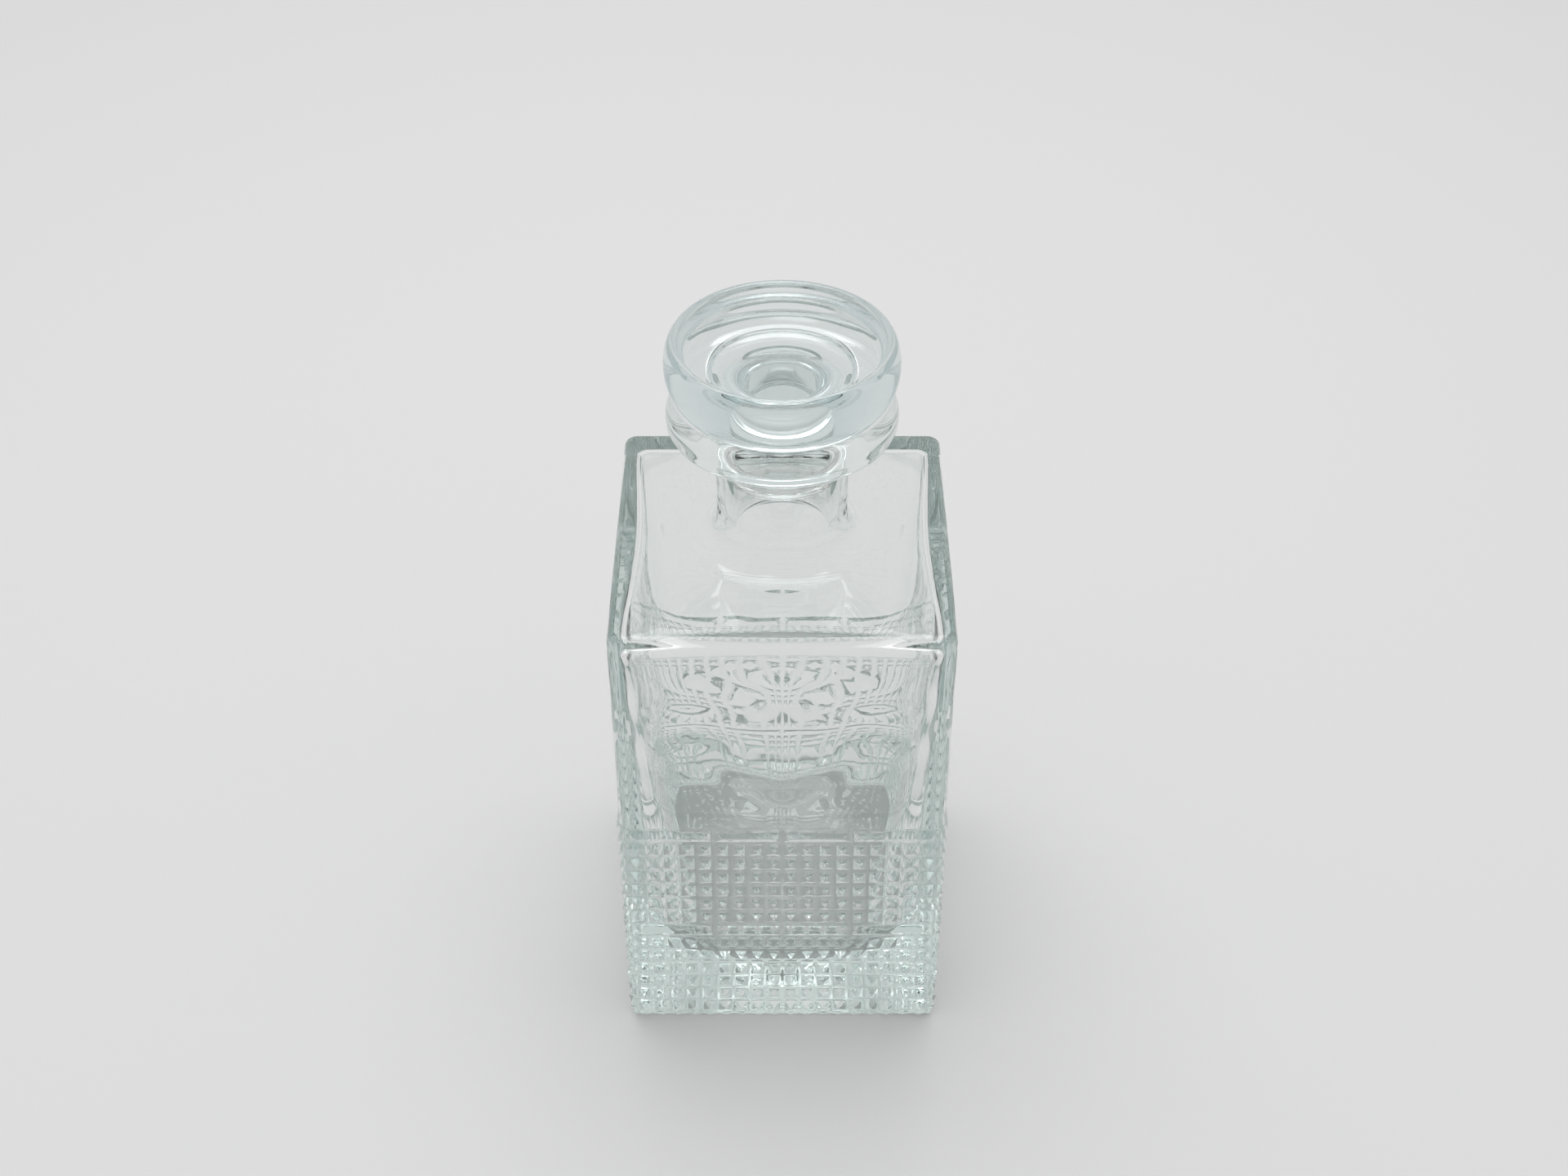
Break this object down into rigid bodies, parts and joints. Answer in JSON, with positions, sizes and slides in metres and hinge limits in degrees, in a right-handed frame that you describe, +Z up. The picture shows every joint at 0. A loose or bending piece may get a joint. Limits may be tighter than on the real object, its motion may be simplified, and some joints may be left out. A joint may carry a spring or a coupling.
{
  "type": "decanter",
  "caption": "Square glass decanter with cut pyramid panels, a round neck and lip, and a disc stopper whose shank seals the neck with a ribbed plastic ring.",
  "frame": {"origin": "centre of the base, on the surface it stands on", "axes": "+Z up the neck's axis, X and Y square to the body's four sides, which are alike, front towards -Y"},
  "size_m": [0.097, 0.097, 0.2239],
  "materials": {
    "bottle_glass": "clear pressed glass with a faint green cast",
    "stopper_glass": "clear polished glass with a faint blue cast",
    "seal_plastic": "translucent soft plastic"
  },
  "bodies": {
    "bottle": {"bottle": "bottle_glass"},
    "seal": {"seal_ring": "seal_plastic"},
    "stopper": {"stopper": "stopper_glass"}
  },
  "joints": [
    {"name": "stopper_lift", "type": "slide", "parent": "bottle", "child": "seal", "axis": [0, 0, 1], "range_m": [0, 0.06]},
    {"name": "stopper_turn", "type": "hinge", "parent": "seal", "child": "stopper", "pos_m": [0, 0, 0.187], "axis": [0, 0, 1], "continuous": true}
  ]
}
